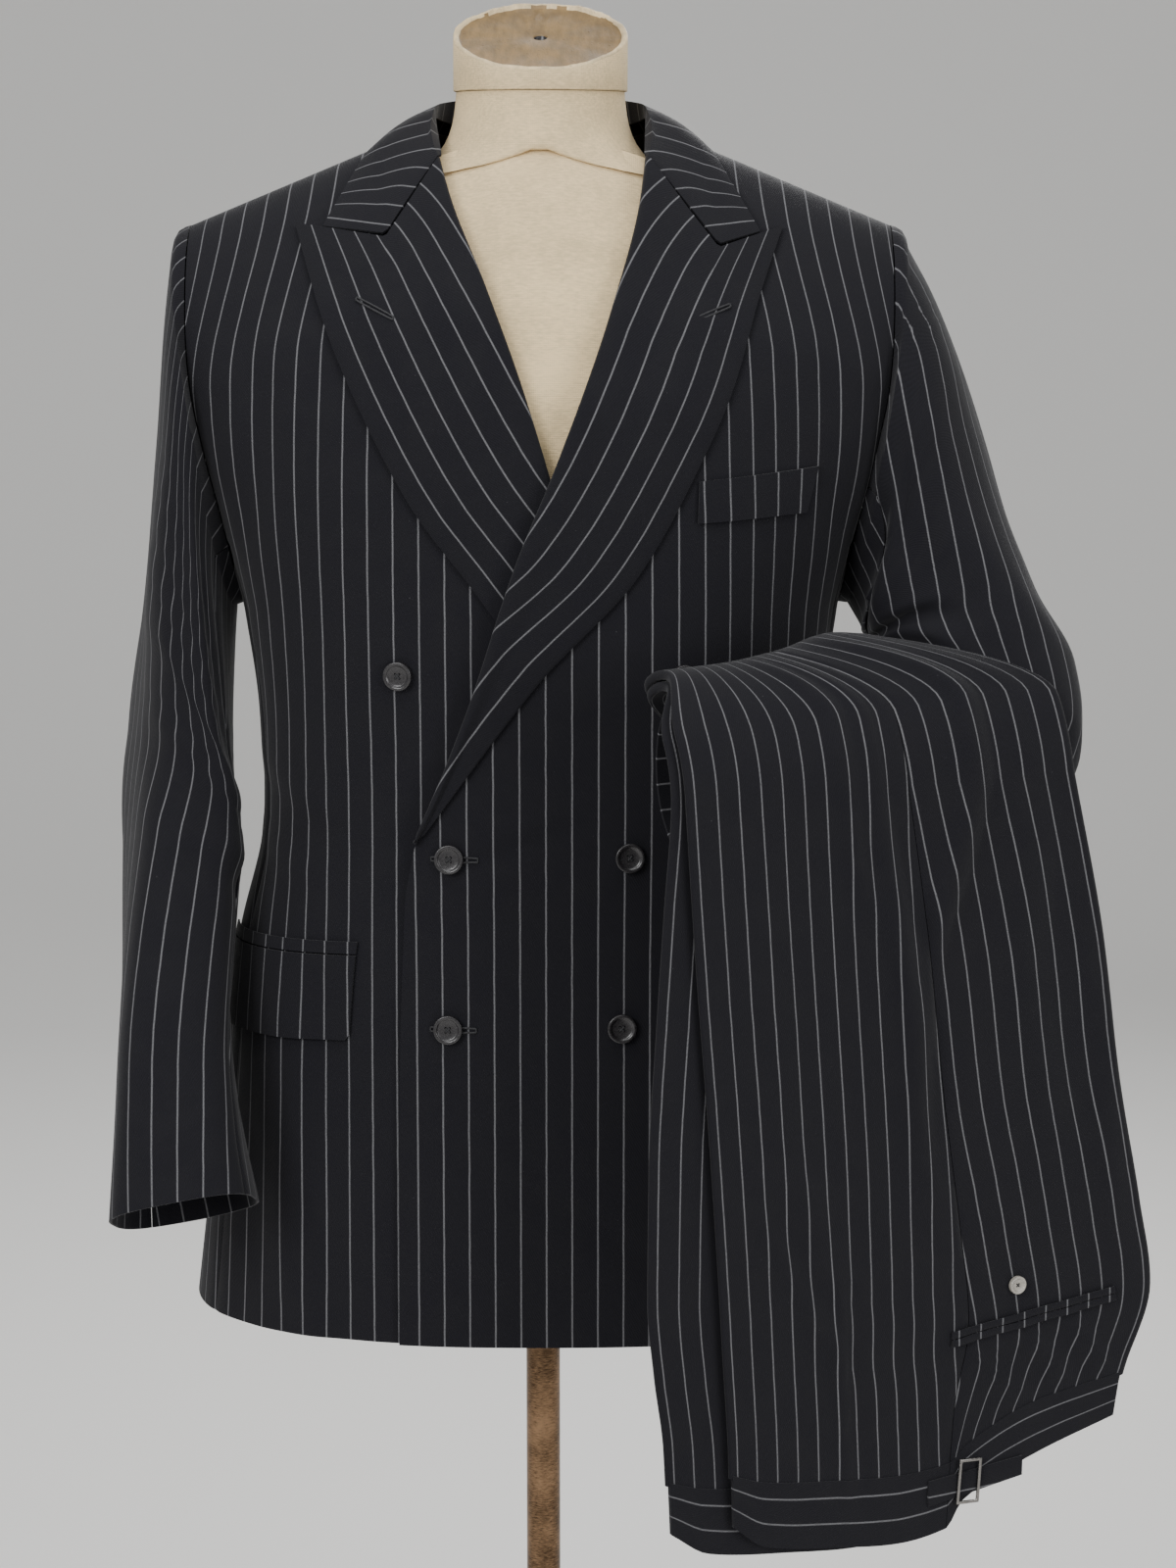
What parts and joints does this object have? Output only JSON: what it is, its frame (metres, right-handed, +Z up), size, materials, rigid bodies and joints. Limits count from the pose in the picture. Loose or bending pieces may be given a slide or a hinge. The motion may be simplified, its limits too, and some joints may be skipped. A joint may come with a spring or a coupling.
{
  "type": "double-breasted pinstripe suit on a limbless dress form with a pole stand",
  "caption": "Double-breasted pinstripe suit on a dress form: jacket with peak lapels and one bent sleeve that carries the folded trousers, on a pole and round base.",
  "frame": {"origin": "centre of the base's underside, on the floor under the pole", "axes": "+Z up, -Y the way the suit faces, +X the wearer's left"},
  "size_m": [0.7281, 0.4902, 1.6451],
  "materials": {
    "suit_cloth": "navy-black wool twill with a pale pinstripe",
    "collar_cloth": "the same wool twill, its stripes across the collar",
    "horn": "dark polished horn",
    "pocket_horn": "grey-brown polished horn",
    "form_linen": "natural linen over a padded form",
    "cap_wood": "pale smooth cap",
    "pole_brass": "brushed brown brass tube",
    "base_brass": "brushed brown brass over a steel plate",
    "buckle_steel": "plated wire"
  },
  "bodies": {
    "root": {"adjuster_buckle": "buckle_steel", "adjuster_strap": "suit_cloth", "back_left": "suit_cloth", "back_pocket_button": "pocket_horn", "back_pocket_jet_lower": "suit_cloth", "back_pocket_jet_upper": "suit_cloth", "back_right": "suit_cloth", "base": "base_brass", "breast_welt": "suit_cloth", "button_lower_left": "horn", "button_lower_right": "horn", "button_middle_left": "horn", "button_middle_right": "horn", "button_upper_left": "horn", "button_upper_right": "horn", "collar": "collar_cloth", "far_leg_back": "suit_cloth", "far_leg_front": "suit_cloth", "flap_left": "suit_cloth", "flap_right": "suit_cloth", "form_torso": "form_linen", "front_left": "suit_cloth", "front_right": "suit_cloth", "jet_left": "suit_cloth", "jet_right": "suit_cloth", "lapel_left": "suit_cloth", "lapel_right": "suit_cloth", "near_leg_back": "suit_cloth", "near_leg_front": "suit_cloth", "neck_cap": "cap_wood", "pole": "pole_brass", "pole_socket": "pole_brass", "side_panel_left": "suit_cloth", "side_panel_right": "suit_cloth", "sleeve_button_left_1": "horn", "sleeve_button_left_2": "horn", "sleeve_button_left_3": "horn", "sleeve_button_left_4": "horn", "sleeve_button_right_1": "horn", "sleeve_button_right_2": "horn", "sleeve_button_right_3": "horn", "sleeve_button_right_4": "horn", "top_sleeve_left": "suit_cloth", "top_sleeve_right": "suit_cloth", "under_sleeve_left": "suit_cloth", "under_sleeve_right": "suit_cloth", "waistband_back": "suit_cloth", "waistband_far": "suit_cloth", "waistband_front": "suit_cloth"}
  },
  "joints": []
}
